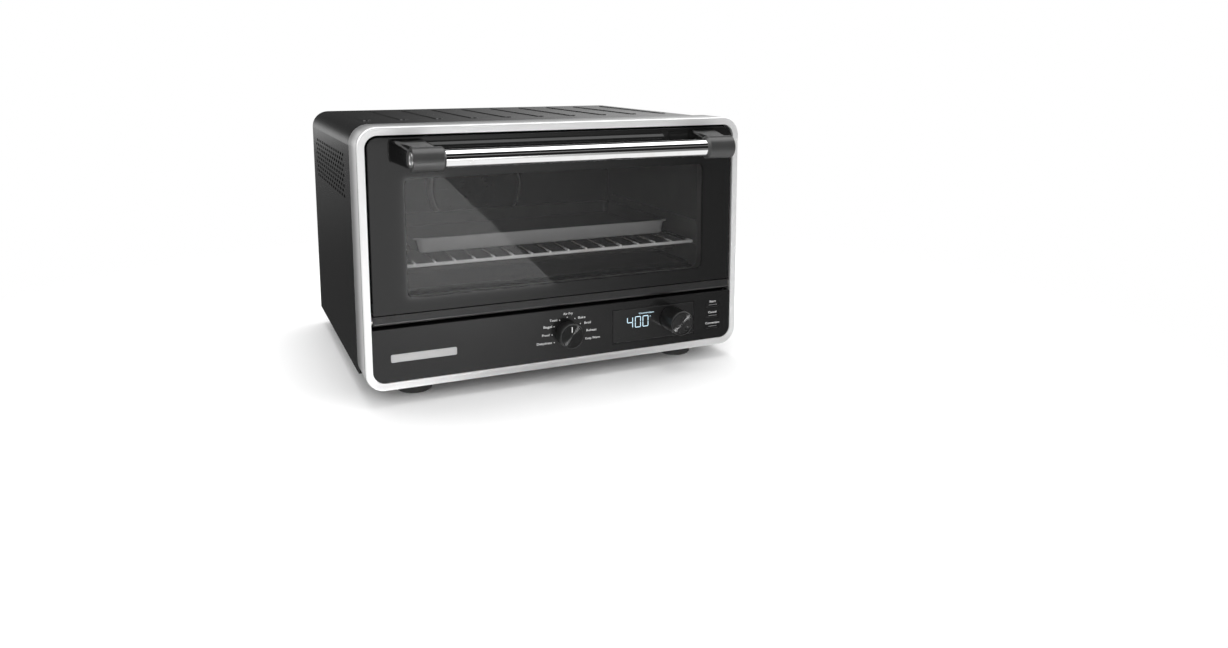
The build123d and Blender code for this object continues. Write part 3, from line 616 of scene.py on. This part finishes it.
# %% Heater rods and ceramic
rod = Finish("fired_heater_rod")
scale = rod.noise(5, 4)
fired_rod = rod.finish_with(
    rod.principled(rod.blend(scale, grey(0.07, 0.1), grey(0.2, 0.05)), 0.42 + scale * 0.2, 0.8,
                   rod.bump(scale, 0.02)))
dress(fired_rod, "upper_heaters", "lower_heaters")

ceramic = Finish("white_ceramic")
chalk = ceramic.noise(0.9, 3)
white_ceramic = ceramic.finish_with(
    ceramic.principled(ceramic.blend(chalk, grey(0.72, 0.02), grey(0.84, 0.01)),
                       0.4 + chalk * 0.2, normal=ceramic.bump(chalk, 0.02)))
dress(white_ceramic, "heater_insulators")

# %% [markdown]
# Inside the panel and the right side sit the circuit boards. Fine copper tracks run under
# the green lacquer: the edges of square cells make believable tracks.

# %% Circuit boards, encoders and motor
board = Finish("green_circuit_board")
tracks = board.spots(2.4, "DISTANCE_TO_EDGE")
copper = 1 - board.rise(tracks, 0.04, 0.09)
green_board = board.finish_with(
    board.principled(board.blend(copper, (0.01, 0.11, 0.04, 1), (0.05, 0.2, 0.07, 1)),
                     0.32 + board.noise(3, 2) * 0.1, normal=board.bump(copper, 0.03)))
dress(green_board, "control_board", "power_board")
dress(black_plastic, "mode_encoder", "temp_encoder", "button_switches")
dress(plated, "fan_motor")

# %% [markdown]
# The feet are moulded rubber, matt and slightly dusty, with a rough sandy grain.

# %% Foot rubber
rubber = Finish("foot_rubber")
sand = rubber.noise(0.6, 3)
bloom = rubber.noise(12, 2)
foot_rubber = rubber.finish_with(
    rubber.principled(rubber.blend(bloom, grey(0.010), grey(0.022)), 0.62 + sand * 0.2,
                      normal=rubber.bump(sand, 0.03)))
dress(foot_rubber, "foot_front_left", "foot_front_right", "foot_rear_left", "foot_rear_right")

# %% [markdown]
# Printing and light on the panel come next. Printed ink is a film a few hundredths of a
# millimetre thick, so each word is a flat text, made into a mesh and laid on the panel.
# The words only say what a setting does.

# %% Inks and light
ink = Finish("white_panel_ink")
ink_grain = ink.noise(0.3, 2)
white_ink = ink.finish_with(
    ink.principled(ink.blend(ink_grain, grey(0.62), grey(0.8)), 0.5 + ink_grain * 0.1))

glow = Finish("display_light")
cell = glow.noise(0.5, 1)
cell_light = glow.blend(cell, (0.56, 0.82, 1.0, 1), (0.74, 0.93, 1.0, 1))
display_light = glow.finish_with(
    glow.principled(grey(0.02), 0.4 + cell * 0.05, emission_color=cell_light,
                    emission_strength=1.25))

pointer = Finish("white_pointer_paint")
pointer_grain = pointer.noise(0.4, 2)
pointer_paint = pointer.finish_with(
    pointer.principled(pointer.blend(pointer_grain, grey(0.75), grey(0.9)),
                       0.35 + pointer_grain * 0.1))


# %% [markdown]
# Several small pieces are made from here on, so three helpers come first: one turns a bmesh
# into a named piece on a body, one lays out a word, and one makes a rounded bar.


# %% Piece helpers
def piece_from(shape, name, material, body):
    """A finished piece at the origin, with its place in its mesh."""
    mesh = bpy.data.meshes.new(name)
    shape.to_mesh(mesh)
    shape.free()
    made = bpy.data.objects.new(name, mesh)
    bpy.context.scene.collection.objects.link(made)
    mesh.materials.append(material)
    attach(made, body)
    print(name, "has", len(mesh.polygons), "faces")


def word(shape, text, size, centre, width=None):
    """Add a word that faces the front, centred on a place, fitted to a width in metres."""
    curve = bpy.data.curves.new(text, "FONT")
    curve.body = text
    curve.size = size
    curve.align_x = "CENTER"
    curve.align_y = "CENTER"
    curve.offset = size * 0.012
    curve.resolution_u = 3
    holder = bpy.data.objects.new(text, curve)
    bpy.context.scene.collection.objects.link(holder)
    bpy.context.view_layer.update()
    letters = bpy.data.meshes.new_from_object(holder)
    stretch = 1.0 if width is None else width / holder.dimensions.x
    turned = Matrix.Rotation(math.radians(90), 4, "X") @ Matrix.Diagonal((stretch, 1, 1, 1))
    letters.transform(Matrix.Translation(centre) @ turned)
    shape.from_mesh(letters)
    bpy.data.objects.remove(holder)
    bpy.data.curves.remove(curve)
    bpy.data.meshes.remove(letters)


def bar(shape, centre, size, bevel=0.0):
    """Add a small bar with its edges eased."""
    made = bmesh.ops.create_cube(shape, size=1.0)
    bmesh.ops.scale(shape, vec=size, verts=made["verts"])
    bmesh.ops.translate(shape, vec=centre, verts=made["verts"])
    if bevel:
        edges = {edge for vert in made["verts"] for edge in vert.link_edges}
        bmesh.ops.bevel(shape, geom=list(edges), offset=bevel, segments=2, profile=0.5,
                        affect="EDGES", material=-1)


# %% [markdown]
# The mode dial points at nine functions. Their dots stand on a circle about the dial at
# steps of thirty degrees, and each word sits just outside its dot. The table gives each
# word's middle across and in height, and its width, in millimetres.

# %% Function words and dots
ink_depth = 0.94
word_size = 0.0036
dot_circle = 18.0
functions = {
    "Dehydrate": (-25.0, 28.4, 17.6), "Proof": (-23.2, 37.4, 9.0), "Bagel": (-20.8, 46.5, 9.8),
    "Toast": (-14.0, 53.3, 9.2), "Air Fry": (3.1, 59.2, 11.4), "Bake": (19.4, 53.1, 8.6),
    "Broil": (26.4, 46.4, 7.8), "Reheat": (31.0, 37.4, 12.3), "Keep Warm": (32.5, 28.2, 17.7),
}
words = bmesh.new()
for text, (x, h, wide) in functions.items():
    word(words, text, word_size, at(x, ink_depth, h), wide / 1000)
piece_from(words, "mode_words", white_ink, "oven")

dots = bmesh.new()
upright_turn = Matrix.Rotation(math.radians(90), 3, "X")
for step in range(len(functions)):
    angle = math.radians(210 - 30 * step)
    out_x = dot_circle * math.cos(angle)
    out_h = dot_circle * math.sin(angle)
    dot = bmesh.ops.create_circle(dots, cap_ends=True, radius=0.0006, segments=20)
    bmesh.ops.rotate(dots, cent=(0, 0, 0), matrix=upright_turn, verts=dot["verts"])
    bmesh.ops.translate(dots, vec=at(mode_x + out_x, ink_depth, mode_h + out_h), verts=dot["verts"])
piece_from(dots, "mode_dots", white_ink, "oven")

# %% [markdown]
# Each button is named by a word above it and carries a fine bright line on its own face, a
# painted highlight of its gloss. The line belongs to the button, so it rides on the button
# and goes in when it is pressed.

# %% Button words and painted highlights
button_words = bmesh.new()
for text, wide, name in (("Start", 8.6, "start_button"), ("Cancel", 11.0, "cancel_button"),
                         ("Convection", 19.0, "convection_button")):
    button_x, _, button_h = middle_of(name)
    word(button_words, text, 0.0034, at(button_x, ink_depth, button_h + 4.3), wide / 1000)
    painted_highlight_line = bmesh.new()
    button_face = (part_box(name)[0].y - front) * 1000
    # Painted highlight: a thin bright metal line that stands for the gloss on each button.
    bar(painted_highlight_line, at(button_x, button_face - 0.02, button_h + 0.6), mm(11.0, 0.08, 0.45))
    piece_from(painted_highlight_line, name + "_painted_highlight", satin_metal, name)
piece_from(button_words, "button_words", white_ink, "oven")

# %% [markdown]
# The display shows a temperature in seven-segment figures. Each figure is seven short bars
# with small gaps between them, and only the lit ones are made: a digit is a choice of bars.
# A small caption and the letter of the temperature scale stand beside them.

# %% Display figures
figure_height = 13.0
figure_width = 7.4
figure_level = 39.9
stroke = 0.85
segments = {
    "top": (0, 1, True), "middle": (0, 0, True), "bottom": (0, -1, True),
    "upper left": (-1, 0.5, False), "upper right": (1, 0.5, False),
    "lower left": (-1, -0.5, False), "lower right": (1, -0.5, False),
}
lit = {
    "4": ("middle", "upper left", "upper right", "lower right"),
    "0": ("top", "bottom", "upper left", "upper right", "lower left", "lower right"),
}
figures = bmesh.new()
for digit, x in (("4", 78.9), ("0", 88.9), ("0", 98.5)):
    for name in lit[digit]:
        side, rise, flat = segments[name]
        centre = at(x + side * (figure_width - stroke) / 2, ink_depth,
                    figure_level + rise * (figure_height - stroke) / 2)
        long = (figure_width - 1.5 * stroke) if flat else (figure_height - 2.6 * stroke) / 2
        size = mm(long, 0.06, stroke) if flat else mm(stroke, 0.06, long)
        bar(figures, centre, size)
piece_from(figures, "display_figures", display_light, "oven")

caption = bmesh.new()
word(caption, "Convection", 0.0024, at(99.6, ink_depth, 49.5), 0.0190)
word(caption, "F", 0.0024, at(104.6, ink_depth, 44.6))
piece_from(caption, "display_caption", display_light, "oven")

# %% [markdown]
# The mode dial has one painted mark near its edge that says where it points. It turns with
# the dial.

# %% Dial pointer
pointer_bar = bmesh.new()
bar(pointer_bar, at(mode_x, mode_face + 0.42, mode_h + 7.4), mm(1.0, 0.2, 6.2), 0.00008)
piece_from(pointer_bar, "mode_pointer", pointer_paint, "mode_knob")

# %% [markdown]
# The floor is pale paper, and away from the oven it melts into a white room, so no edge or
# horizon shows. It stays out of mirror images: polished metal and glass look best when they
# reflect a room that was laid out for them, and that room comes next.

# %% Floor
paper = Finish("pale_paper")
fibre = paper.noise(1.5, 2)
paper_x, paper_y, _ = paper.parts(paper.place())
far_off = paper.rise(paper.length(paper_x, paper_y), 0.40, 0.85)
sheet_shader = paper.principled(paper.blend(fibre, grey(0.95), grey(0.98)), 0.8,
                                specular_ior_level=0.1)
room_white = paper.node("ShaderNodeBsdfTransparent")
paper_white = paper.finish_with(paper.mixed(far_off, sheet_shader, room_white))
sheet = bmesh.new()
bmesh.ops.create_circle(sheet, cap_ends=True, radius=4.0, segments=96)
sheet_mesh = bpy.data.meshes.new("floor")
sheet.to_mesh(sheet_mesh)
sheet.free()
floor = bpy.data.objects.new("floor", sheet_mesh)
floor.data.materials.append(paper_white)
bpy.context.scene.collection.objects.link(floor)
floor.visible_glossy = False
print("floor has", len(sheet_mesh.polygons), "face")

# %% [markdown]
# The camera stands to the left of the oven, a little above it, and looks slightly down. Its
# place is given as the drawing gives it: across, behind the bezel's front, and height.

# %% Camera
eye = Vector((-364.6, -933.3, 335.6))
look_down = 8.561
look_right = 24.382
lens = bpy.data.cameras.new("camera")
lens.lens = 27.439
lens.sensor_width = 36
lens.shift_y = -0.10
camera = bpy.data.objects.new("camera", lens)
camera.location = at(*eye)
camera.rotation_euler = (math.radians(90 - look_down), 0, math.radians(-look_right))
bpy.context.scene.collection.objects.link(camera)
bpy.context.scene.camera = camera
print("camera with a", lens.lens, "mm lens, at", [round(part, 3) for part in camera.location])

# %% [markdown]
# The studio is a sphere of soft panels, placed by turn, from the front round to the right,
# and by lift above the horizon. Glossy surfaces see the panels: a table that fades to the
# right, a bank on the left, a low one behind on the right, a long one overhead and a thin
# strip in front. A faint glow behind on the left lights the wall's upper edge, and a small
# spot makes the dials gleam. Matt surfaces and the paper get an even white from all round.

# %% Studio light
world = bpy.data.worlds.new("studio")
bpy.context.scene.world = world
world.use_nodes = True
room = Finish("studio", world.node_tree)
dir_x, dir_y, dir_z = room.parts(room.node("ShaderNodeTexCoord", output="Generated"))
dir_front = dir_y * -1.0
degrees = 180 / math.pi
turn = room.math("ARCTAN2", dir_x, dir_front) * degrees
lift = room.math("ARCSINE", dir_z) * degrees
over = room.math("ARCTAN2", dir_z, dir_front) * degrees


def panel(turn_low, turn_high, lift_low, lift_high, soft_turn, soft_lift):
    """A soft-edged panel of light between two turns and two lifts, in degrees."""
    past_left = room.rise(turn, turn_low - soft_turn, turn_low + soft_turn)
    past_right = room.rise(turn, turn_high - soft_turn, turn_high + soft_turn)
    past_foot = room.rise(lift, lift_low - soft_lift, lift_low + soft_lift)
    past_top = room.rise(lift, lift_high - soft_lift, lift_high + soft_lift)
    return past_left * (1 - past_right) * (past_foot * (1 - past_top))


near_table = 1 - room.rise(lift, -34, -20)
table_fade = 0.13 + 0.81 * (1 - (1 - near_table) * room.rise(turn, 12, 32))
table = panel(-110, 110, -95, -4.4, 12, 0.7) * table_fade
behind = 1 - panel(-110, 110, -95, 95, 14, 1)
rear_table = behind * (0.04 + 0.3 * (1 - room.rise(lift, -50, -14)))
glow_lift = room.rise(lift, -12, -5) * (1 - room.rise(lift, -2, 6))
glow_level = 0.07 + 0.5 * room.rise(lift, -5.4, -3.4)
rear_glow = behind * (1 - room.rise(turn, -150, -120)) * glow_lift * glow_level
overhead = room.rise(over, 62, 68) * (1 - room.rise(over, 112, 120)) * 2.4
strip = room.rise(over, 25, 28) * (1 - room.rise(over, 34, 37)) * 0.2
left_bank = panel(-136, -14, 6, 60, 9, 4)
right_fade = room.rise(172 - turn, 0, 34) * room.rise(turn, 70, 96)
right_bank = right_fade * panel(60, 200, 0, 18, 9, 2.5) * 1.1
spot = panel(-1, 10, -44, -34, 2, 2) * 30.0
shine = 0.012 + table + rear_table + rear_glow + overhead + strip + left_bank + right_bank + spot
print("room panels laid out for a camera", round(-eye.y), "mm in front")

# %% [markdown]
# One more card gives the window its slanted gleam. The camera sees the card in the glass,
# so its corners are worked out as directions from the mirrored camera through the window.

# %% Window card
card_level = 2.6
card_soft = 0.0008
slant_top_x = -132.0
slant_bottom_x = -12.0
mirror_reach = -eye.y + 1.0


def card_turn(x):
    """The sideways slope of the direction that shows at a place across the glass."""
    return (x - eye.x) / mirror_reach


def card_lift(height):
    """The upward slope of the direction that shows at a height on the glass."""
    return (height - eye.z) / mirror_reach


def past(value):
    """0 or 1 either side of nothing, with a hair's breadth of softness."""
    return room.rise(value, -card_soft, card_soft)


slope_x = dir_x / dir_front
slope_z = dir_z / dir_front
card_top = card_lift(window["top"])
card_bottom = card_lift(window["bottom"])
slant_run = card_turn(slant_bottom_x) - card_turn(slant_top_x)
slant = card_turn(slant_top_x) + (card_top - slope_z) * (slant_run / (card_top - card_bottom))
across_card = past(slope_x - card_turn(window["left"])) * past(slant - slope_x)
up_card = past(slope_z - card_bottom) * past(card_top - slope_z)
card = across_card * up_card * room.rise(dir_front, 0.1, 0.2) * card_level
print("card from", window["bottom"], "to", window["top"], "mm up the glass")

# %% [markdown]
# The light path decides who sees what: the camera sees plain white, mirrors see the panels,
# and everything matt gets the even white.

# %% World output
matt_white = 0.9
ray = room.node("ShaderNodeLightPath").socket.node
seen = Value(room, ray.outputs["Is Camera Ray"])
glossy = Value(room, ray.outputs["Is Glossy Ray"])
unseen_level = glossy * (shine + card) + (1 - glossy) * matt_white
level = seen + (1 - seen) * unseen_level
glowing = room.node("ShaderNodeBackground", None, {"Color": grey(1.0), "Strength": level})
room.node("ShaderNodeOutputWorld", None, {"Surface": glowing})
print(world.name, "world has", len(world.node_tree.nodes), "nodes")

# %% [markdown]
# Two area lamps shape the matt surfaces. The key hangs overhead, so the shadow stays close
# to the oven, and a weak fill from the front left reaches through the window to the rack.
# Neither shows in a mirror.


# %% Lamps
def soft_lamp(name, power, wide, tall, place, aim):
    """A rectangular area lamp at one place, turned towards another, in metres."""
    light = bpy.data.lights.new(name, "AREA")
    light.energy = power
    light.shape = "RECTANGLE"
    light.size = wide
    light.size_y = tall
    lamp = bpy.data.objects.new(name, light)
    lamp.location = place
    lamp.rotation_euler = (Vector(aim) - Vector(place)).to_track_quat("-Z", "Y").to_euler()
    lamp.visible_glossy = False
    bpy.context.scene.collection.objects.link(lamp)
    print(name, "lamp of", power, "watts")


soft_lamp("key", 28, 1.6, 1.2, (0.1, 0.1, 2.0), (0, 0, 0.1))
soft_lamp("fill", 3, 0.8, 0.8, (-0.55, -1.35, 0.5), (0, 0, 0.14))
bpy.context.scene.view_settings.view_transform = "Standard"
